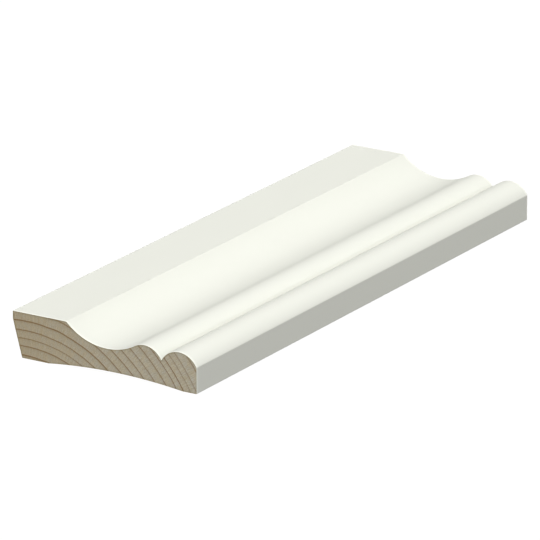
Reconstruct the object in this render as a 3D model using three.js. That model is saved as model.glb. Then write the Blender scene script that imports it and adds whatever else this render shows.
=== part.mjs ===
// Painted pine skirting board, a straight length lying on its back as it would on a bench.
// Millimetres. X runs across the board from its foot edge to its top edge, Y runs along it,
// and Z runs from the wall face to the moulded face, which looks up.
// The origin is under the middle of the board, in the plane of the back strips.
import * as THREE from "three";

// Overall sizes: a stock section of 21 x 95, cut square at the length shown.
const boardHeight = 95;
const boardThickness = 21;
const boardLength = 286;

// Foot edge: a square land in front, undercut behind it so that the front arris meets the floor.
const footLand = 3.5;
const undercutAngle = THREE.MathUtils.degToRad(15);

// Back: two flat strips that bear on the wall, with a shallow hollow run between them.
const footStrip = 13.8;
const topStrip = 7.3;
const hollowDepth = 2.15;

// Moulded face, from the plain band over a cove and a nose to the bead at the top edge.
// The two rolls rise to one level, and the quirk and the shoulder are measured down from it.
const rollLevelDepth = 3.5;
const beadRadius = 10.2;
const noseRadius = 9.9;
const quirkDrop = 5.3;
const shoulderDrop = 5.5;
const coveRadius = 29.4;
const coveDepth = 8.6;

// Corners taken off by the cutter and the paint, as set back along both sides of the corner.
const arrisSetback = 0.25;
const quirkSetback = 0.3;

// How far a flat facet may lie off the true curve.
const facetError = 0.01;

function point(x, z) {
  return new THREE.Vector2(x, z);
}

// Half the chord that a circle cuts on a line at the given distance from its centre.
function halfChord(radius, distance) {
  return Math.sqrt(radius ** 2 - distance ** 2);
}

// Half the width of a roll at the given drop below its crest.
function halfWidthAt(radius, drop) {
  return halfChord(radius, radius - drop);
}

function angleFrom(centre, target) {
  return target.clone().sub(centre).angle();
}

// The facets of an arc about a centre between two points on it, the short way round.
// It starts and stops short of them by the given setbacks along the curve.
function arc(centre, radius, start, startSetback, end, endSetback) {
  const startAngle = angleFrom(centre, start);
  const turn = THREE.MathUtils.euclideanModulo(angleFrom(centre, end) - startAngle, 2 * Math.PI);
  const shortTurn = turn > Math.PI ? turn - 2 * Math.PI : turn;
  const way = Math.sign(shortTurn);
  const from = startAngle + (way * startSetback) / radius;
  const to = startAngle + shortTurn - (way * endSetback) / radius;
  const facetTurn = 2 * Math.acos(1 - facetError / radius);
  const facets = Math.ceil(Math.abs(to - from) / facetTurn);
  return new THREE.EllipseCurve(centre.x, centre.y, radius, radius, from, to, way < 0).getPoints(facets);
}

// The rounding of one corner, from a point on its first side to a point on its second.
function easedCorner(before, corner, after) {
  const stepsRound = 4;
  return new THREE.QuadraticBezierCurve(before, corner, after).getPoints(stepsRound);
}

// The rounding of a corner between two straight sides.
function easedArris(previous, corner, next) {
  const back = (target) => target.clone().sub(corner).setLength(arrisSetback).add(corner);
  return easedCorner(back(previous), corner, back(next));
}

// The moulded face from the shoulder at the top edge back to the plain band.
// The cove touches the nose from outside, so that one runs into the other with no edge.
function mouldedFace() {
  const rollLevel = boardThickness - rollLevelDepth;
  const shoulder = point(boardHeight, rollLevel - shoulderDrop);
  const bead = point(shoulder.x - halfWidthAt(beadRadius, shoulderDrop), rollLevel - beadRadius);
  const quirk = point(bead.x - halfWidthAt(beadRadius, quirkDrop), rollLevel - quirkDrop);
  const nose = point(quirk.x - halfWidthAt(noseRadius, quirkDrop), rollLevel - noseRadius);
  const coveLevel = boardThickness - coveDepth + coveRadius;
  const cove = point(nose.x - halfChord(coveRadius + noseRadius, coveLevel - nose.y), coveLevel);
  const bandEdge = point(cove.x - halfWidthAt(coveRadius, coveDepth), boardThickness);

  const beadArc = arc(bead, beadRadius, shoulder, arrisSetback, quirk, quirkSetback);
  const noseArc = arc(nose, noseRadius, quirk, quirkSetback, cove, 0);
  const coveArc = arc(cove, coveRadius, nose, 0, bandEdge, arrisSetback);
  const beforeShoulder = point(shoulder.x, shoulder.y - arrisSetback);
  const beyondBandEdge = point(bandEdge.x - arrisSetback, bandEdge.y);
  return [
    ...easedCorner(beforeShoulder, shoulder, beadArc.at(0)),
    ...beadArc,
    ...easedCorner(beadArc.at(-1), quirk, noseArc.at(0)),
    ...noseArc,
    ...coveArc,
    ...easedCorner(coveArc.at(-1), bandEdge, beyondBandEdge),
  ];
}

// The shallow hollow of the back: the arc through both strip edges at its stated depth.
function backHollow(start, end) {
  const half = (end.x - start.x) / 2;
  const radius = (half ** 2 + hollowDepth ** 2) / (2 * hollowDepth);
  const centre = point(start.x + half, hollowDepth - radius);
  return arc(centre, radius, start, 0, end, 0);
}

// The whole section, anticlockwise from the back corner of the foot edge.
function sectionOutline() {
  const footFront = point(0, boardThickness);
  const landBack = point(0, boardThickness - footLand);
  const footBack = point(landBack.y * Math.tan(undercutAngle), 0);
  const topBack = point(boardHeight, 0);
  const hollowStart = point(footBack.x + footStrip, 0);
  const hollowEnd = point(boardHeight - topStrip, 0);
  const face = mouldedFace();
  return withoutRepeats([
    ...easedArris(landBack, footBack, hollowStart),
    ...backHollow(hollowStart, hollowEnd),
    ...easedArris(hollowEnd, topBack, face.at(0)),
    ...face,
    ...easedArris(face.at(-1), footFront, landBack),
    landBack,
  ]);
}

// Neighbouring stretches share their end points, so each repeat is dropped.
function withoutRepeats(points) {
  const least = 1e-4;
  return points.filter((p, i) => p.distanceTo(points.at(i - 1)) > least);
}

// The board is solid, so its section is simply run along the length and laid on its back.
function makeBoard() {
  const satinWhite = new THREE.MeshStandardMaterial({ color: 0xf0f1e8, roughness: 0.42, metalness: 0 });
  const section = new THREE.Shape(sectionOutline());
  const geometry = new THREE.ExtrudeGeometry(section, { depth: boardLength, bevelEnabled: false });
  const board = new THREE.Mesh(geometry, satinWhite);
  board.name = "skirting_board";
  board.rotation.x = Math.PI / 2;
  board.position.set(-boardHeight / 2, boardLength / 2, 0);
  return board;
}

const root = new THREE.Group();
root.add(makeBoard());
export default root;
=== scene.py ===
"""A length of painted pine skirting board, lying on its back on a white table lit from below.

The section is drawn once from the machinist's sizes. The pine is a solid run of it with its growth
rings showing on both sawn ends, and the paint is a thin film that wraps the face and both edges.
"""

import math

import bpy
import numpy as np
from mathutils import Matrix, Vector


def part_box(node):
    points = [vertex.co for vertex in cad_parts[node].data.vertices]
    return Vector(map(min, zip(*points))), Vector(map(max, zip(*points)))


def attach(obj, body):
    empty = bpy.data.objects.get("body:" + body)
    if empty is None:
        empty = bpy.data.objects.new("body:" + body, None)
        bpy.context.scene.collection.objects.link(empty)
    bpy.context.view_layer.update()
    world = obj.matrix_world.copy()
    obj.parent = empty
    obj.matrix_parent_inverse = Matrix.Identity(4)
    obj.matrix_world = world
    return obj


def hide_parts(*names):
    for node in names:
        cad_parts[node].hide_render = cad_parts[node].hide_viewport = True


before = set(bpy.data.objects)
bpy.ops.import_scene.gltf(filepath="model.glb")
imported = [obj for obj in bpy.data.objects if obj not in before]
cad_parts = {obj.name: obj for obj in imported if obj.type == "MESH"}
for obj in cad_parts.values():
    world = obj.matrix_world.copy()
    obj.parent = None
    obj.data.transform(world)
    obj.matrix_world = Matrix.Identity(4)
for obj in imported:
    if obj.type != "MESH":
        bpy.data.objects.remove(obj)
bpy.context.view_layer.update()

MM = 0.001  # every size below is in millimetres, and Blender's are in metres

# The section. X runs from the foot edge to the top edge, Z from the wall face to the moulded face.
board_low, board_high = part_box("skirting_board")
HEIGHT = (board_high[0] - board_low[0]) / MM
LENGTH = (board_high[1] - board_low[1]) / MM
THICKNESS = (board_high[2] - board_low[2]) / MM
FOOT_LAND = 3.5
UNDERCUT = math.radians(15)
FOOT_STRIP = 13.8
TOP_STRIP = 7.3
HOLLOW_DEPTH = 2.15
ROLL_LEVEL_DEPTH = 3.5
BEAD_RADIUS = 10.2
NOSE_RADIUS = 9.9
QUIRK_DROP = 5.3
SHOULDER_DROP = 5.5
COVE_RADIUS = 29.4
COVE_DEPTH = 8.6
ARRIS_SETBACK = 0.25
QUIRK_SETBACK = 0.3

# Paint film: primer and two coats together.
FILM = 0.08
FILM_BORDER = 0.03  # what is left of it where the spray fades out
FILM_ROUND_FOOT = 1.2  # how far it runs on past the foot land, down the undercut
FILM_ROUND_TOP = 1.0  # how far it runs on round the top edge, on to the back
FILM_SUNK = 0.02  # the film bites this far into the wood, so that no gap is left between them
BORDER_CREEP = 0.9  # its borders swing to and fro within this much along the board
CREEP_PATCHES = (60, 150, 60)  # how often they swing in a metre, each way
# How far inside the film's border a point lies, and how deep the wood sits below the coat there.
WOOD_BELOW_COAT = ((-1.6, 0), (-0.8, FILM_BORDER), (0.3, FILM_BORDER), (1.8, FILM))

# What the saw has done at both ends.
EARLY_WOOD_SINK = 0.05  # how far the soft early wood lies below the hard lines of late wood
CUT_ARRIS = 1.0  # the film is dragged down over the cut, along this much of the board
FILM_DRAG = 0.8  # how much of its thickness it loses there
PAINTED_HIGHLIGHT_FADE = 0.3  # the film is painted lighter there too, as a painted highlight along the cut, and that fades over this much to either side
RIM = 0.85  # how far in from its outline the sawn end is crushed and darker
# How far the outline beside it faces the top edge, and how strong the rim is there.
RIM_STRENGTH = ((-0.95, 1), (-0.6, 0.65), (0.6, 0.65), (0.9, 0.2))

# How finely the mesh is divided.
STEP = 0.5  # the longest stretch of the section
ROUNDING = 1e-6  # a stretch that is longer by only this share of a step isn't divided again
CORNER_STEPS = 6
END_ROWS = 44
PINE_STATIONS = 14
FILM_STATIONS = 80  # more than the pine has, so that the film's borders can creep
ARRIS_SHARES = (0.12, 0.18, 0.3, 0.4)  # how the cut arris is divided, from the cut inwards
SAME_POINT = 1e-4  # points of the section nearer than this are one
WELD = 0.001  # and so are points of the finished mesh nearer than this
SHARP_EDGE = math.radians(35)

# The tree: where its pith ran below the board at the near end, and how that drifts along it.
PITH = (7.7, -49.0)
PITH_DRIFT = (0.012, -0.016)
# Each late-wood line by its distance from the pith and how heavy it is.
RINGS = (
    (50.4, 0.90),
    (54.7, 0.92),
    (58.2, 0.70),
    (61.9, 0.86),
    (66.3, 0.96),
    (70.8, 0.82),
    (75.0, 0.85),
    (78.9, 0.83),
    (83.0, 0.70),
    (87.4, 0.77),
    (91.5, 0.88),
    (94.3, 1.20),
    (97.5, 0.60),
    (100.4, 0.63),
    (105.0, 0.62),
)
RING_SPAN = (45.0, 112.0)  # distances from the pith that the rings are drawn over
# One year's growth: how far through it, and how dark. The dark line is the summer's late wood.
DARKEST = 0.93
YEAR = (
    (0, 0.22),
    (0.03, 0.06),
    (0.06, 0),
    (0.6, 0.02),
    (0.8, 0.14),
    (0.86, 0.4),
    (0.9, 0.85),
    (DARKEST, 1),
    (0.95, 0.95),
    (0.975, 0.6),
    (1, 0.22),
)
SWELL = 0.1  # the rings swell and sink by this much
SWELLS = 12  # so many times round the tree
SWELL_TURN = math.radians(24)  # one swell lies this far round from straight above the pith
WANDER = 0.7  # they also wander within this much
WANDER_SIZE = 9.0  # once over this length
WANDER_ALONG = 0.12  # and this much more slowly along the board
KNOT = (25.0, 20.5)  # a buried knot at the near end has pushed the rings outwards here
KNOT_PUSH = 0.45  # by this much at the most
KNOT_REACH = 9.0  # and by nothing beyond this distance

# The sockets of a Mix node that mix colours. It has others of the same names, so they go by number.
FIRST, SECOND, MIXED = 6, 7, 2
WAVE_STEP = 0.314  # how far apart a Wave Texture's bands lie at a scale of 1


def point(x, z):
    return Vector((x, z))


def half_chord(radius, distance):
    """Half the chord that a circle cuts on a line at a distance from its centre."""
    return math.sqrt(radius**2 - distance**2)


def half_width_at(radius, drop):
    """Half the width of a roll at a drop below its crest."""
    return half_chord(radius, radius - drop)


def arc(centre, radius, start, start_setback, end, end_setback):
    """The short arc between two points, stopping short of each by its setback."""
    first = math.atan2(*(start - centre).yx)
    turn = (math.atan2(*(end - centre).yx) - first + math.pi) % math.tau - math.pi
    way = math.copysign(1, turn)
    first += way * start_setback / radius
    turn -= way * (start_setback + end_setback) / radius
    count = math.ceil(abs(turn) * radius / STEP)
    angles = [first + turn * i / count for i in range(count + 1)]
    return [centre + radius * point(math.cos(a), math.sin(a)) for a in angles]


def eased(before, corner, after):
    """A corner rounded off between a point before it and a point after it."""
    steps = [i / CORNER_STEPS for i in range(CORNER_STEPS + 1)]
    return [(1 - t) ** 2 * before + 2 * t * (1 - t) * corner + t**2 * after for t in steps]


def eased_arris(previous, corner, following):
    """A corner between two straight sides, rounded off by the arris setback."""
    before = corner + (previous - corner).normalized() * ARRIS_SETBACK
    after = corner + (following - corner).normalized() * ARRIS_SETBACK
    return eased(before, corner, after)


def filled_in(points):
    """The same points with others between them, so that no stretch is longer than the step."""
    filled = []
    for a, b in zip(points, points[1:]):
        count = max(1, math.ceil((b - a).length / STEP - ROUNDING))
        filled += [a.lerp(b, i / count) for i in range(count)]
    return [*filled, points[-1]]


def back_line():
    """From the foot land down the undercut and across the back to the top edge."""
    land_back = point(0, THICKNESS - FOOT_LAND)
    foot_back = point(land_back.y * math.tan(UNDERCUT), 0)
    top_back = point(HEIGHT, 0)
    hollow_start = foot_back + point(FOOT_STRIP, 0)
    hollow_end = top_back - point(TOP_STRIP, 0)
    half = (hollow_end.x - hollow_start.x) / 2
    radius = (half**2 + HOLLOW_DEPTH**2) / (2 * HOLLOW_DEPTH)
    centre = point(hollow_start.x + half, HOLLOW_DEPTH - radius)
    return filled_in([
        land_back,
        *eased_arris(land_back, foot_back, hollow_start),
        *arc(centre, radius, hollow_start, 0, hollow_end, 0),
        *eased_arris(hollow_end, top_back, point(HEIGHT, THICKNESS)),
    ])


def face_line():
    """From the foot land over the plain band, cove, nose, quirk and bead to the shoulder."""
    roll_level = THICKNESS - ROLL_LEVEL_DEPTH
    shoulder = point(HEIGHT, roll_level - SHOULDER_DROP)
    bead = point(HEIGHT - half_width_at(BEAD_RADIUS, SHOULDER_DROP), roll_level - BEAD_RADIUS)
    quirk = point(bead.x - half_width_at(BEAD_RADIUS, QUIRK_DROP), roll_level - QUIRK_DROP)
    nose = point(quirk.x - half_width_at(NOSE_RADIUS, QUIRK_DROP), roll_level - NOSE_RADIUS)
    cove_level = THICKNESS - COVE_DEPTH + COVE_RADIUS
    cove = point(nose.x - half_chord(COVE_RADIUS + NOSE_RADIUS, cove_level - nose.y), cove_level)
    band_edge = point(cove.x - half_width_at(COVE_RADIUS, COVE_DEPTH), THICKNESS)
    foot_front = point(0, THICKNESS)

    cove_arc = arc(cove, COVE_RADIUS, band_edge, ARRIS_SETBACK, nose, 0)
    nose_arc = arc(nose, NOSE_RADIUS, cove, 0, quirk, QUIRK_SETBACK)
    bead_arc = arc(bead, BEAD_RADIUS, quirk, QUIRK_SETBACK, shoulder, ARRIS_SETBACK)
    return filled_in([
        *eased_arris(point(0, 0), foot_front, band_edge),
        *eased(band_edge - point(ARRIS_SETBACK, 0), band_edge, cove_arc[0]),
        *cove_arc,
        *nose_arc[1:],
        *eased(nose_arc[-1], quirk, bead_arc[0]),
        *bead_arc,
        *eased(bead_arc[-1], shoulder, shoulder - point(0, ARRIS_SETBACK)),
    ])


def closed_section():
    """The section as one anticlockwise loop from the middle of the back, with the length run so far."""
    back, face = back_line(), face_line()
    top_edge = filled_in([back[-1], face[-1]])
    foot_land = filled_in([face[0], back[0]])
    middle = len(back) // 2
    loop = [*back[middle:], *top_edge, *face[::-1], *foot_land, *back[: middle + 1]]
    loop = [p for p, q in zip(loop, loop[1:]) if (q - p).length > SAME_POINT]
    points = np.array(loop)
    steps = np.linalg.norm(np.roll(points, -1, axis=0) - points, axis=1)
    return points, np.concatenate([[0], np.cumsum(steps)[:-1]])


def outward(points):
    """What to add to each point of the loop to move its two sides out by one."""
    along = np.roll(points, -1, axis=0) - points
    along /= np.linalg.norm(along, axis=1)[:, None]
    side = np.stack([along[:, 1], -along[:, 0]], axis=1)
    both = side + np.roll(side, 1, axis=0)
    return 2 * both / np.sum(both**2, axis=1)[:, None]


section, run = closed_section()
out = outward(section)


def index_at(x, z):
    """Which point of the loop is nearest to a place."""
    return int(np.argmin(np.hypot(section[:, 0] - x, section[:, 1] - z)))


# The coat's outer side is the section itself, and the pine is cut back under it.
foot_low = index_at(0, THICKNESS - FOOT_LAND)
top_low = index_at(HEIGHT, ARRIS_SETBACK)
film_from = run[top_low] - ARRIS_SETBACK - FILM_ROUND_TOP
film_to = run[foot_low] + FILM_ROUND_FOOT
inside_film = np.minimum(run - film_from, film_to - run)
film_depth = np.interp(inside_film, *zip(*WOOD_BELOW_COAT))
pine_section = section - out * film_depth[:, None]


def end_mesh(name, points, faces):
    """A flat mesh in the plane of the board's section, facing along the board."""
    mesh = bpy.data.meshes.new(name)
    mesh.from_pydata([((x - HEIGHT / 2) * MM, 0, z * MM) for x, z in points], [], faces)
    return mesh


def pine_end():
    """The end of the pine, as columns of small faces between its back and its face."""
    top_high = index_at(HEIGHT, THICKNESS - ROLL_LEVEL_DEPTH - SHOULDER_DROP - ARRIS_SETBACK)
    foot_high = index_at(0, THICKNESS - ARRIS_SETBACK)
    back = np.concatenate([pine_section[foot_low:], pine_section[: top_low + 1]])
    face = pine_section[top_high : foot_high + 1][::-1]

    # There is a column at each point of the section, except where two would nearly touch. The first
    # and last stand where the pine meets the film on the foot land and on the top edge.
    places = np.sort(np.concatenate([face[:, 0], back[:, 0]]))
    least = STEP / 4
    columns = [FILM]
    for x in places:
        if x - columns[-1] > least and HEIGHT - FILM - x > least:
            columns.append(x)
    columns.append(HEIGHT - FILM)
    low = np.interp(columns, back[:, 0], back[:, 1])
    high = np.interp(columns, face[:, 0], face[:, 1])
    rows = np.linspace(low, high, END_ROWS).T
    points = [(x, z) for x, row in zip(columns, rows) for z in row]
    corners = [i * END_ROWS + j for i in range(len(columns) - 1) for j in range(END_ROWS - 1)]
    faces = [(c, c + 1, c + END_ROWS + 1, c + END_ROWS) for c in corners]
    mesh = end_mesh("pine_end", points, faces)

    # The rim falls to nothing inside the outline. There is most of it along the undercut of the foot
    # edge, and least along the top edge.
    depth, nearest = depth_inside(np.array(points))
    strength = np.interp(out[nearest, 0], *zip(*RIM_STRENGTH))
    rim = np.clip(1 - depth / RIM, 0, 1) * strength
    mesh.attributes.new("rim", "FLOAT", "POINT").data.foreach_set("value", rim)
    return mesh


def depth_inside(points):
    """How deep each point lies inside the pine's outline, and which stretch of it is nearest."""
    along = np.roll(pine_section, -1, axis=0) - pine_section
    from_start = points[:, None] - pine_section
    share = np.sum(from_start * along, axis=2) / np.sum(along**2, axis=1)
    away = from_start - np.clip(share, 0, 1)[..., None] * along
    depths = np.linalg.norm(away, axis=2)
    return depths.min(axis=1), depths.argmin(axis=1)


def film_end():
    """The cut end of the film, a strip between its outer side and the wood under it."""
    painted = np.flatnonzero(inside_film >= 0)
    outer = section[painted]
    inner = outer - out[painted] * (film_depth[painted, None] + FILM_SUNK)
    count = len(painted)
    faces = [(i, i + count, i + count + 1, i + 1) for i in range(count - 1)]
    mesh = end_mesh("film_end", [*outer, *inner], faces)

    # The way in which the border of the film creeps, on the last millimetre at each side.
    along = np.roll(section, -1, axis=0)[painted] - outer
    along /= np.linalg.norm(along, axis=1)[:, None]
    first_half = np.arange(count) < count / 2
    along[first_half] *= -1
    creep = along * np.clip(1 - inside_film[painted], 0, 1)[:, None]
    keep_shift(mesh, "creep", np.concatenate([creep, creep]))

    # The way in which its outer side is dragged down at the cut.
    drag = -FILM_DRAG * MM * out[painted] * film_depth[painted, None]
    keep_shift(mesh, "drag", np.concatenate([drag, 0 * drag]))
    return mesh


def keep_shift(mesh, name, shift):
    """Keeps a shift in the plane of the section with each point of the mesh."""
    kept = mesh.attributes.new(name, "FLOAT_VECTOR", "POINT")
    kept.data.foreach_set("vector", np.insert(shift, 1, 0, axis=1).ravel())


def add(tree, kind, *inputs, named=None, curve=None, **settings):
    """Adds a node with its settings, and sets or links its inputs in order and by name.

    A curve is given as its points, which are joined by straight lines.
    """
    node = tree.nodes.new(kind)
    for name, value in settings.items():
        setattr(node, name, value)
    for key, value in [*enumerate(inputs), *(named or {}).items()]:
        if isinstance(value, bpy.types.Node):
            value = value.outputs[0]
        if isinstance(value, bpy.types.NodeSocket):
            tree.links.new(value, node.inputs[key])
        elif value is not None:
            node.inputs[key].default_value = value
    if curve:
        points = node.mapping.curves[0].points
        for x, y in curve[1:-1]:
            points.new(x, y)
        for p, place in zip(points, curve):
            p.location = place
            p.handle_type = "VECTOR"
        node.mapping.update()
    return node


def growth_rings(tree, place):
    """Follows the tree's rings through the board, from a place in millimetres.

    Gives the distance from the pith, the way round it and the way along the board, all in
    millimetres, and how much of the wood at that place is dark late wood, from 0 to 1.
    """
    x, y, z = add(tree, "ShaderNodeSeparateXYZ", place).outputs
    from_near_end = add(tree, "ShaderNodeMath", y, LENGTH / 2, operation="ADD")
    pith_x = add(tree, "ShaderNodeMath", from_near_end, PITH_DRIFT[0], PITH[0] - HEIGHT / 2,
                 operation="MULTIPLY_ADD")
    pith_z = add(tree, "ShaderNodeMath", from_near_end, PITH_DRIFT[1], PITH[1], operation="MULTIPLY_ADD")
    side = add(tree, "ShaderNodeMath", x, pith_x, operation="SUBTRACT")
    rise = add(tree, "ShaderNodeMath", z, pith_z, operation="SUBTRACT")
    flat = add(tree, "ShaderNodeCombineXYZ", side, 0, rise)
    radius = add(tree, "ShaderNodeVectorMath", flat, operation="LENGTH").outputs["Value"]
    angle = add(tree, "ShaderNodeMath", side, rise, operation="ARCTAN2")
    mean_radius = sum(RING_SPAN) / 2
    round_pith = add(tree, "ShaderNodeMath", angle, mean_radius, operation="MULTIPLY")

    # The rings swell and sink round the tree.
    turn = add(tree, "ShaderNodeMath", angle, SWELLS, -SWELLS * SWELL_TURN, operation="MULTIPLY_ADD")
    wave = add(tree, "ShaderNodeMath", turn, operation="COSINE")
    swollen = add(tree, "ShaderNodeMath", wave, -SWELL, radius, operation="MULTIPLY_ADD")

    # They wander as well, much more slowly along the board than across it.
    slow_y = add(tree, "ShaderNodeMath", y, WANDER_ALONG, operation="MULTIPLY")
    slow = add(tree, "ShaderNodeCombineXYZ", x, slow_y, z)
    wander = add(tree, "ShaderNodeTexNoise", slow,
                 named={"Scale": 1 / WANDER_SIZE, "Detail": 3.0, "Roughness": 0.65})
    offset = add(tree, "ShaderNodeMath", wander, 0.5, operation="SUBTRACT")
    wandered = add(tree, "ShaderNodeMath", offset, WANDER, swollen, operation="MULTIPLY_ADD")

    # The knot pushes them out round the place where it lies.
    knot = (KNOT[0] - HEIGHT / 2, -WANDER_ALONG * LENGTH / 2, KNOT[1])
    from_knot = add(tree, "ShaderNodeVectorMath", slow, knot, operation="DISTANCE").outputs["Value"]
    push = add(tree, "ShaderNodeMapRange", from_knot, 0, KNOT_REACH, KNOT_PUSH, 0,
               interpolation_type="SMOOTHSTEP")
    wavy = add(tree, "ShaderNodeMath", wandered, push, operation="SUBTRACT")

    # Each place lies so many years out from the inner rings, and so far through its own year.
    low, high = RING_SPAN
    share = add(tree, "ShaderNodeMapRange", wavy, low, high)
    count = len(RINGS) + 1
    shares = [(distance - low) / (high - low) for distance, _ in RINGS]
    number = add(tree, "ShaderNodeFloatCurve", 1.0, share,
                 curve=[(0, 0), *((s, (i + 1) / count) for i, s in enumerate(shares)), (1, 1)])
    years = add(tree, "ShaderNodeMath", number, count, DARKEST, operation="MULTIPLY_ADD")
    through_year = add(tree, "ShaderNodeMath", years, operation="FRACT")
    band = add(tree, "ShaderNodeFloatCurve", 1.0, through_year, curve=YEAR)

    # A curve stays between 0 and 1, so the weights go through it as shares of the heaviest.
    heaviest = max(weight for _, weight in RINGS)
    weights = [weight / heaviest for _, weight in RINGS]
    weight_there = add(tree, "ShaderNodeFloatCurve", 1.0, share,
                       curve=[(0, weights[0]), *zip(shares, weights), (1, weights[-1])])
    heavy_band = add(tree, "ShaderNodeMath", band, heaviest, operation="MULTIPLY")
    late = add(tree, "ShaderNodeMath", heavy_band, weight_there, operation="MULTIPLY", use_clamp=True)
    return radius, round_pith, y, late


def board_run():
    """The geometry nodes that run an end mesh along the board and finish both of its ends."""
    tree = bpy.data.node_groups.new("board_run", "GeometryNodeTree")
    sockets = tree.interface
    sockets.new_socket("Geometry", in_out="OUTPUT", socket_type="NodeSocketGeometry")
    for name, kind, value in [
        ("Geometry", "Geometry", None),
        ("Length", "Float", LENGTH * MM),
        ("Stations", "Int", PINE_STATIONS),
        ("Cut arris", "Float", CUT_ARRIS * MM),
        ("Early wood sink", "Float", 0.0),
        ("Border creep", "Float", 0.0),
        ("Creep seed", "Float", 3.0),
        ("Side material", "Material", None),
        ("End material", "Material", None),
    ]:
        socket = sockets.new_socket(name, in_out="INPUT", socket_type="NodeSocket" + kind)
        if value is not None:
            socket.default_value = value
    given = add(tree, "NodeGroupInput").outputs
    place = add(tree, "GeometryNodeInputPosition")
    along = add(tree, "ShaderNodeSeparateXYZ", place).outputs["Y"]
    facing = add(tree, "ShaderNodeSeparateXYZ", add(tree, "GeometryNodeInputNormal")).outputs["Y"]

    solid = run_to_length(tree, given, facing)
    sawn = sink_early_wood(tree, given, solid, place, along)
    dragged = drag_film(tree, given, sawn, along)
    sprayed = creep_borders(tree, given, dragged, place)

    real = add(tree, "GeometryNodeRealizeInstances", sprayed)
    sides = add(tree, "GeometryNodeSetMaterial", real, named={"Material": given["Side material"]})
    how_square = add(tree, "ShaderNodeMath", facing, operation="ABSOLUTE")
    at_ends = add(tree, "ShaderNodeMath", how_square, 0.5, operation="GREATER_THAN")
    ends = add(tree, "GeometryNodeSetMaterial", sides, at_ends,
               named={"Material": given["End material"]})
    add(tree, "NodeGroupOutput", ends)
    return tree


def run_to_length(tree, given, facing):
    """Pushes the end mesh along the board and closes the near end behind it."""
    near_at = add(tree, "ShaderNodeMath", given["Length"], -0.5, operation="MULTIPLY")
    to_near_end = add(tree, "ShaderNodeCombineXYZ", 0, near_at, 0)
    near = add(tree, "GeometryNodeSetPosition", given["Geometry"], named={"Offset": to_near_end})
    leading = add(tree, "ShaderNodeMath", facing, 0.5, operation="GREATER_THAN")

    # The steps grow through the cut arris, are even along the board, and shrink again at its far end.
    arris_steps = []
    for share in ARRIS_SHARES:
        step = add(tree, "ShaderNodeMath", given["Cut arris"], share, operation="MULTIPLY")
        arris_steps.append(add(tree, "ShaderNodeCombineXYZ", 0, step, 0))
    middle = add(tree, "ShaderNodeMath", given["Cut arris"], -2.0, given["Length"], operation="MULTIPLY_ADD")
    station = add(tree, "ShaderNodeMath", middle, given["Stations"], operation="DIVIDE")
    station_step = add(tree, "ShaderNodeCombineXYZ", 0, station, 0)

    pushed = near
    for step in arris_steps:
        pushed = add(tree, "GeometryNodeExtrudeMesh", pushed, leading, step, 1.0, False)
    zone_start = add(tree, "GeometryNodeRepeatInput")
    zone_end = add(tree, "GeometryNodeRepeatOutput")
    zone_start.pair_with_output(zone_end)
    tree.links.new(given["Stations"], zone_start.inputs["Iterations"])
    tree.links.new(pushed.outputs["Mesh"], zone_start.inputs["Geometry"])
    pushed = add(tree, "GeometryNodeExtrudeMesh", zone_start.outputs["Geometry"], leading, station_step,
                 1.0, False)
    tree.links.new(pushed.outputs["Mesh"], zone_end.inputs["Geometry"])
    pushed = zone_end.outputs["Geometry"]
    for step in reversed(arris_steps):
        pushed = add(tree, "GeometryNodeExtrudeMesh", pushed, leading, step, 1.0, False)

    near_end = add(tree, "GeometryNodeFlipFaces", near)
    joined = add(tree, "GeometryNodeJoinGeometry")
    tree.links.new(pushed.outputs["Mesh"], joined.inputs[0])
    tree.links.new(near_end.outputs[0], joined.inputs[0])
    return add(tree, "GeometryNodeMergeByDistance", joined, named={"Distance": WELD * MM})


def sink_early_wood(tree, given, solid, place, along):
    """Both ends with the soft early wood left a little below the hard lines of late wood."""
    in_mm = add(tree, "ShaderNodeVectorMath", place, operation="SCALE", named={"Scale": 1 / MM})
    late = growth_rings(tree, in_mm)[3]
    early = add(tree, "ShaderNodeMath", 1.0, late, operation="SUBTRACT")
    depth = add(tree, "ShaderNodeMath", early, given["Early wood sink"], operation="MULTIPLY")
    outwards = add(tree, "ShaderNodeMath", along, operation="SIGN")
    inwards = add(tree, "ShaderNodeMath", outwards, -1.0, operation="MULTIPLY")
    sink = add(tree, "ShaderNodeMath", depth, inwards, operation="MULTIPLY")
    offset = add(tree, "ShaderNodeCombineXYZ", 0, sink, 0)

    # Only the points at the ends move, which lie half the length out but for rounding.
    how_far = add(tree, "ShaderNodeMath", along, operation="ABSOLUTE")
    nearly_half = add(tree, "ShaderNodeMath", given["Length"], 0.4999, operation="MULTIPLY")
    at_ends = add(tree, "ShaderNodeMath", how_far, nearly_half, operation="GREATER_THAN")
    return add(tree, "GeometryNodeSetPosition", solid, at_ends, named={"Offset": offset})


def drag_film(tree, given, sawn, along):
    """Both ends with the film dragged down over the cut, in a quarter of an ellipse."""
    how_far = add(tree, "ShaderNodeMath", along, operation="ABSOLUTE")
    end_at = add(tree, "ShaderNodeMath", given["Length"], 0.5, operation="MULTIPLY")
    inner_at = add(tree, "ShaderNodeMath", end_at, given["Cut arris"], operation="SUBTRACT")
    share = add(tree, "ShaderNodeMapRange", how_far, inner_at, end_at)
    squared = add(tree, "ShaderNodeMath", share, share, operation="MULTIPLY")
    rest = add(tree, "ShaderNodeMath", 1.0, squared, operation="SUBTRACT")
    height_left = add(tree, "ShaderNodeMath", rest, operation="SQRT")
    dropped = add(tree, "ShaderNodeMath", 1.0, height_left, operation="SUBTRACT")
    drag = add(tree, "GeometryNodeInputNamedAttribute", "drag", data_type="FLOAT_VECTOR")
    offset = add(tree, "ShaderNodeVectorMath", drag, operation="SCALE", named={"Scale": dropped})
    return add(tree, "GeometryNodeSetPosition", sawn, named={"Offset": offset})


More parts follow.
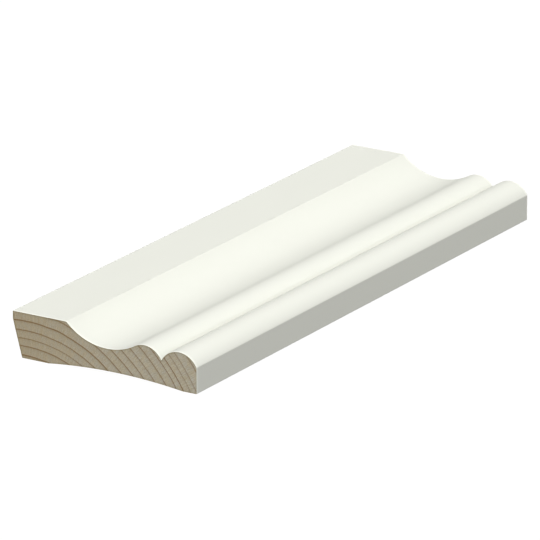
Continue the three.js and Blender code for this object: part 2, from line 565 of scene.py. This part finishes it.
def creep_borders(tree, given, dragged, place):
    """The film with its two borders creeping to and fro along the board, as sprayed paint does."""
    patch = add(tree, "ShaderNodeVectorMath", place, CREEP_PATCHES, operation="MULTIPLY")
    shifted = add(tree, "ShaderNodeVectorMath", patch, given["Creep seed"], operation="ADD")
    wobble = add(tree, "ShaderNodeTexNoise", shifted, named={"Scale": 1.0, "Detail": 2.0})
    swing = add(tree, "ShaderNodeMath", wobble, 0.5, operation="SUBTRACT")
    amount = add(tree, "ShaderNodeMath", swing, given["Border creep"], operation="MULTIPLY")
    creep = add(tree, "GeometryNodeInputNamedAttribute", "creep", data_type="FLOAT_VECTOR")
    offset = add(tree, "ShaderNodeVectorMath", creep, operation="SCALE", named={"Scale": amount})
    return add(tree, "GeometryNodeSetPosition", dragged, named={"Offset": offset})


def run_along_board(name, mesh, tree, **sizes):
    """Runs an end mesh along the board with the tree, and gives the result as a plain mesh object."""
    seed = bpy.data.objects.new(name + "_end", mesh)
    bpy.context.scene.collection.objects.link(seed)
    nodes = seed.modifiers.new("run", "NODES")
    nodes.node_group = tree
    for item in tree.interface.items_tree:
        key = item.name.lower().replace(" ", "_")
        if item.in_out == "INPUT" and key in sizes:
            nodes[item.identifier] = sizes[key]
    done = seed.evaluated_get(bpy.context.evaluated_depsgraph_get())
    solid = bpy.data.meshes.new_from_object(done)
    seed.modifiers.remove(nodes)
    bpy.data.objects.remove(seed)
    solid.name = name
    solid.shade_smooth()
    solid.set_sharp_from_angle(angle=SHARP_EDGE)
    piece = bpy.data.objects.new(name, solid)
    bpy.context.scene.collection.objects.link(piece)
    return piece


def linear(colour):
    """An sRGB hex colour as linear red, green, blue and alpha."""
    parts = [int(colour[i : i + 2], 16) / 255 for i in (1, 3, 5)]
    return [c / 12.92 if c <= 0.04045 else ((c + 0.055) / 1.055) ** 2.4 for c in parts] + [1.0]


def new_material(name):
    """A material with its node tree, its shader and the place on the board in millimetres."""
    material = bpy.data.materials.new(name)
    material.use_nodes = True
    tree = material.node_tree
    shader = tree.nodes["Principled BSDF"]
    metres = add(tree, "ShaderNodeTexCoord").outputs["Object"]
    place = add(tree, "ShaderNodeVectorMath", metres, operation="SCALE", named={"Scale": 1 / MM})
    return material, tree, shader, place


def pine_colour(tree, place, pale, deep, late_wood, resin, aged, speckle, ray):
    """Pine by its growth rings, speckled between a pale and a deep colour.

    A speckle and a ray are each as long across the rings, round them and along the board as their
    three sizes. At the foot edge the wood is tinted by the aged colour, and this fades out beyond it.
    Gives the colour, the share of late wood and the speckle, from 0 to 1.
    """
    radius, round_pith, along, late = growth_rings(tree, place)
    grain = add(tree, "ShaderNodeCombineXYZ", radius, round_pith, along)

    # Rays over a fine speckle of fibres, which counts for more.
    fibre_place = add(tree, "ShaderNodeVectorMath", grain, speckle, operation="DIVIDE")
    fibres = add(tree, "ShaderNodeTexNoise", fibre_place,
                 named={"Scale": 1.0, "Detail": 2.0, "Roughness": 0.6})
    ray_place = add(tree, "ShaderNodeVectorMath", grain, ray, operation="DIVIDE")
    rays = add(tree, "ShaderNodeTexNoise", ray_place,
               named={"Scale": 1.0, "Detail": 2.0, "Roughness": 0.5})
    fibre_weight = 1.4
    deepest, palest = 0.93, 1.47  # what the two add up to where the wood is deepest and palest
    both = add(tree, "ShaderNodeMath", fibres, fibre_weight, rays, operation="MULTIPLY_ADD")
    share = add(tree, "ShaderNodeMapRange", both, deepest, palest)
    speckled = add(tree, "ShaderNodeMix", share, data_type="RGBA",
                   named={FIRST: linear(deep), SECOND: linear(pale)})

    # Towards the foot edge it is aged, and this fades out 66 mm from that edge.
    aged_reach = 66.0
    across = add(tree, "ShaderNodeSeparateXYZ", place).outputs["X"]
    fresh = add(tree, "ShaderNodeMapRange", across, -HEIGHT / 2, aged_reach - HEIGHT / 2)
    age = add(tree, "ShaderNodeMix", fresh, data_type="RGBA",
              named={FIRST: linear(aged), SECOND: (1, 1, 1, 1)})
    ground = add(tree, "ShaderNodeVectorMath", speckled.outputs[MIXED], age.outputs[MIXED],
                 operation="MULTIPLY")

    # It is greyer here and yellower there, over a few millimetres. The two tints are what its red,
    # green and blue are multiplied by.
    patch_size = (2.0, 1.6, 40.0)
    grey_tint = (0.98, 1.0, 1.05, 1)
    yellow_tint = (1.02, 1.0, 0.945, 1)
    patch_place = add(tree, "ShaderNodeVectorMath", grain, patch_size, operation="DIVIDE")
    patch = add(tree, "ShaderNodeTexNoise", patch_place,
                named={"Scale": 1.0, "Detail": 2.0, "Roughness": 0.5})
    greyest, yellowest = 0.35, 0.65
    warmth = add(tree, "ShaderNodeMapRange", patch, greyest, yellowest)
    tint = add(tree, "ShaderNodeMix", warmth, data_type="RGBA",
               named={FIRST: grey_tint, SECOND: yellow_tint})
    tinted = add(tree, "ShaderNodeVectorMath", ground, tint.outputs[MIXED], operation="MULTIPLY")
    ringed = add(tree, "ShaderNodeMix", late, data_type="RGBA",
                 named={FIRST: tinted, SECOND: linear(late_wood)})

    # Resin canals are a tenth of a millimetre wide, drawn here at three tenths so that they show.
    canal_spacing = (3.5, 3.5, 60.0)
    core, edge = 0.035, 0.06  # as shares of that spacing
    canal_place = add(tree, "ShaderNodeVectorMath", grain, canal_spacing, operation="DIVIDE")
    canals = add(tree, "ShaderNodeTexVoronoi", canal_place, named={"Scale": 1.0}).outputs["Distance"]
    canal = add(tree, "ShaderNodeMapRange", canals, core, edge, 0.5, 0)
    full = add(tree, "ShaderNodeMix", canal, data_type="RGBA",
               named={FIRST: ringed.outputs[MIXED], SECOND: linear(resin)})
    return full.outputs[MIXED], late, share


def sawn_pine_end():
    """Pine cut across by a fine saw: dull, greyed by fuzz, with rays that point at the pith."""
    material, tree, shader, place = new_material("sawn_pine_end")
    colour, _, flecks = pine_colour(
        tree, place,
        pale="#DFD9C6", deep="#C8BA9B", late_wood="#906B3D", resin="#8A7350", aged="#F3ECE0",
        speckle=(0.5, 0.45, 12.0), ray=(5.0, 0.4, 12.0),
    )

    # The rim is a shade darker all round, where the fibres are crushed.
    rim = add(tree, "ShaderNodeAttribute", attribute_name="rim").outputs["Fac"]
    crushed = add(tree, "ShaderNodeMix", rim, data_type="RGBA",
                  named={FIRST: colour, SECOND: linear("#A08F68")})
    tree.links.new(crushed.outputs[MIXED], shader.inputs["Base Color"])
    shader.inputs["Roughness"].default_value = 0.85
    shader.inputs["IOR"].default_value = 1.5

    # The blade leaves faint arcs 1.4 mm apart, about a centre beyond the foot edge and below the
    # board, under fuzz a quarter of a millimetre across.
    arc_spacing = 1.4
    fuzz_size = 0.25
    saw_centre = (-60.0, 0.0, -140.0)
    arc_share, fuzz_share, depth = 0.12, 0.6, 0.02 * MM
    from_centre = add(tree, "ShaderNodeVectorMath", place, saw_centre, operation="SUBTRACT")
    arcs = add(tree, "ShaderNodeTexWave", from_centre, wave_type="RINGS", rings_direction="Y",
               named={"Scale": WAVE_STEP / arc_spacing, "Distortion": 1.5, "Detail": 2.0,
                      "Detail Scale": 0.6})
    fuzz = add(tree, "ShaderNodeTexNoise", place, named={"Scale": 1 / fuzz_size, "Detail": 2.0})
    with_arcs = add(tree, "ShaderNodeMath", arcs, arc_share, flecks, operation="MULTIPLY_ADD")
    height = add(tree, "ShaderNodeMath", fuzz, fuzz_share, with_arcs, operation="MULTIPLY_ADD")
    bump = add(tree, "ShaderNodeBump", named={"Strength": 1.0, "Distance": depth, "Height": height})
    tree.links.new(bump.outputs[0], shader.inputs["Normal"])
    return material


def planed_pine_back():
    """Pine planed along the grain: paler and yellower than the cut end, with long fibres."""
    material, tree, shader, place = new_material("planed_pine_back")
    colour, late, fibres = pine_colour(
        tree, place,
        pale="#E6D6B2", deep="#D8C294", late_wood="#B68A58", resin="#A3784A", aged="#FDFAF5",
        speckle=(0.5, 0.35, 26.0), ray=(2.0, 0.35, 26.0),
    )
    tree.links.new(colour, shader.inputs["Base Color"])
    shader.inputs["IOR"].default_value = 1.5

    # Late wood is denser and takes more polish from the knives.
    early_roughness, late_roughness = 0.62, 0.5
    polish = add(tree, "ShaderNodeMapRange", late, 0, 1, early_roughness, late_roughness)
    tree.links.new(polish.outputs[0], shader.inputs["Roughness"])

    # Each knife of the planer leaves a shallow scallop 1.8 mm long, and the fibres stand up over it.
    scallop = 1.8
    fibre_share, scallop_share, depth = 0.7, 0.35, 0.02 * MM
    knives = add(tree, "ShaderNodeTexWave", place, bands_direction="Y",
                 named={"Scale": WAVE_STEP / scallop, "Distortion": 0.3, "Detail": 1.0})
    raised = add(tree, "ShaderNodeMath", fibres, fibre_share, late, operation="MULTIPLY_ADD")
    height = add(tree, "ShaderNodeMath", knives, scallop_share, raised, operation="MULTIPLY_ADD")
    bump = add(tree, "ShaderNodeBump", named={"Strength": 1.0, "Distance": depth, "Height": height})
    tree.links.new(bump.outputs[0], shader.inputs["Normal"])
    return material


def satin_white_paint():
    """Waterborne satin trim paint, sprayed: an even off-white skin with a soft broad sheen."""
    material, tree, shader, place = new_material("sprayed_satin_white")
    shader.inputs["IOR"].default_value = 1.5

    # A painted highlight: the film's colour is lighter along the cut, on its last millimetre, where its edge
    # catches the light.
    y = add(tree, "ShaderNodeSeparateXYZ", place).outputs["Y"]
    how_far = add(tree, "ShaderNodeMath", y, operation="ABSOLUTE")
    painted_highlight_from = LENGTH / 2 - CUT_ARRIS
    painted_highlight = add(tree, "ShaderNodeMapRange", how_far, painted_highlight_from - PAINTED_HIGHLIGHT_FADE,
                    painted_highlight_from + PAINTED_HIGHLIGHT_FADE)
    colour = add(tree, "ShaderNodeMix", painted_highlight, data_type="RGBA",
                 named={FIRST: linear("#DCDDD4"), SECOND: linear("#E8E9DF")})
    tree.links.new(colour.outputs[MIXED], shader.inputs["Base Color"])

    # Spraying leaves a fine orange peel, dimples 1.2 mm wide, over grain that the primer has raised
    # in long low ridges.
    dimple = (1.2, 1.2, 1.2)
    ridge = (0.7, 22.0, 0.7)
    peel_share, depth = 0.8, 0.008 * MM
    dimple_place = add(tree, "ShaderNodeVectorMath", place, dimple, operation="DIVIDE")
    peel = add(tree, "ShaderNodeTexNoise", dimple_place, named={"Scale": 1.0, "Detail": 1.0})
    ridge_place = add(tree, "ShaderNodeVectorMath", place, ridge, operation="DIVIDE")
    ridges = add(tree, "ShaderNodeTexNoise", ridge_place,
                 named={"Scale": 1.0, "Detail": 3.0, "Roughness": 0.6})
    height = add(tree, "ShaderNodeMath", peel, peel_share, ridges, operation="MULTIPLY_ADD")
    bump = add(tree, "ShaderNodeBump", named={"Strength": 1.0, "Distance": depth, "Height": height})
    tree.links.new(bump.outputs[0], shader.inputs["Normal"])

    # The sheen varies a little, in patches a few centimetres long.
    sheen_patch = (14.0, 40.0, 14.0)
    glossiest, dullest = 0.62, 0.68
    sheen_place = add(tree, "ShaderNodeVectorMath", place, sheen_patch, operation="DIVIDE")
    sheen = add(tree, "ShaderNodeTexNoise", sheen_place, named={"Scale": 1.0, "Detail": 2.0})
    rough = add(tree, "ShaderNodeMapRange", sheen, 0.3, 0.7, glossiest, dullest)
    tree.links.new(rough.outputs[0], shader.inputs["Roughness"])
    return material


# The studio, with its table a hair below the board.
TABLE_SIZE = 60000
TABLE_GAP = 0.05
TABLE_GLOW = 0.975
ROOM_GLOW = 0.115
SOFTBOX_SPREAD = math.radians(30)

# The photograph's view: where the camera stands round the board, what it looks at and how far off.
CAMERA_AZIMUTH = 31.880
CAMERA_ELEVATION = 18.430
CAMERA_DISTANCE = 2787.1
CAMERA_TARGET = (53.42, -92.96, 43.17)
CAMERA_LENS = 429.1


def studio_floor():
    """A table top of opal glass, lit from below. Its glow outshines the lamps, so no shadow shows.

    Its own colour is set dark, so that the glow alone decides how white it is. It throws no light on
    the board itself: one of the studio's lamps stands for that.
    """
    bpy.ops.mesh.primitive_plane_add(size=TABLE_SIZE * MM, location=(0, 0, -TABLE_GAP * MM))
    floor = bpy.context.object
    floor.name = "studio_floor"
    material, _, shader, _ = new_material("opal_glass_lit_white")
    shader.inputs["Base Color"].default_value = linear("#303030")
    shader.inputs["Roughness"].default_value = 0.9
    shader.inputs["Emission Color"].default_value = (1, 1, 1, 1)
    shader.inputs["Emission Strength"].default_value = TABLE_GLOW
    floor.data.materials.append(material)
    floor.visible_diffuse = False
    floor.visible_glossy = False
    floor.visible_shadow = False


def way_to(azimuth, elevation):
    """The way from the board to a place in the studio, by degrees round from its near end and up."""
    a, e = math.radians(azimuth), math.radians(elevation)
    return Vector((math.sin(a) * math.cos(e), -math.cos(a) * math.cos(e), math.sin(e)))


def softbox(name, azimuth, elevation, strength):
    """A large soft lamp so far off that it lights the whole length alike."""
    light = bpy.data.lights.new(name, "SUN")
    light.energy = strength * math.pi
    light.angle = SOFTBOX_SPREAD
    lamp = bpy.data.objects.new(name, light)
    bpy.context.scene.collection.objects.link(lamp)
    lamp.rotation_euler = way_to(azimuth, elevation).to_track_quat("Z", "Y").to_euler()


def studio_light():
    """Three softboxes in a pale room: overhead, beyond the beaded edge and before the cut end.

    A fourth lamp stands for the light that the table throws up at the foot edge and the far end.
    """
    softbox("softbox_overhead", azimuth=-90, elevation=86, strength=0.691)
    softbox("softbox_side", azimuth=90, elevation=26, strength=0.314)
    softbox("softbox_front", azimuth=32, elevation=30, strength=0.538)
    softbox("table_glow", azimuth=-135, elevation=-20, strength=0.5)
    world = bpy.data.worlds.new("studio")
    bpy.context.scene.world = world
    world.use_nodes = True
    background = world.node_tree.nodes["Background"]
    background.inputs["Color"].default_value = (1, 1, 1, 1)
    background.inputs["Strength"].default_value = ROOM_GLOW
    # Light as it falls, with no film curve, so that white stays white.
    bpy.context.scene.view_settings.view_transform = "Standard"


def photo_camera():
    """The camera where it stood for the photograph, with a long lens."""
    camera = bpy.data.cameras.new("camera")
    camera.lens = CAMERA_LENS
    camera.sensor_width = 36.0
    camera.clip_start = 0.1
    camera.clip_end = 200
    stand = bpy.data.objects.new("camera", camera)
    bpy.context.scene.collection.objects.link(stand)
    towards_camera = way_to(CAMERA_AZIMUTH, CAMERA_ELEVATION)
    stand.location = (Vector(CAMERA_TARGET) + towards_camera * CAMERA_DISTANCE) * MM
    stand.rotation_euler = towards_camera.to_track_quat("Z", "Y").to_euler()
    bpy.context.scene.camera = stand


photo_camera()
studio_light()
studio_floor()

run_tree = board_run()
paint = satin_white_paint()
sawn_pine = sawn_pine_end()
planed_pine = planed_pine_back()
pine_board = run_along_board(
    "pine_board", pine_end(), run_tree,
    length=LENGTH * MM, stations=PINE_STATIONS, early_wood_sink=EARLY_WOOD_SINK * MM,
    side_material=planed_pine, end_material=sawn_pine,
)
paint_coat = run_along_board(
    "paint_coat", film_end(), run_tree,
    length=LENGTH * MM, stations=FILM_STATIONS, border_creep=BORDER_CREEP * MM,
    side_material=paint, end_material=paint,
)
for piece, slot in ((pine_board, "bare_pine"), (paint_coat, "satin_white_paint")):
    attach(piece, "root")
    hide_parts("skirting_board")
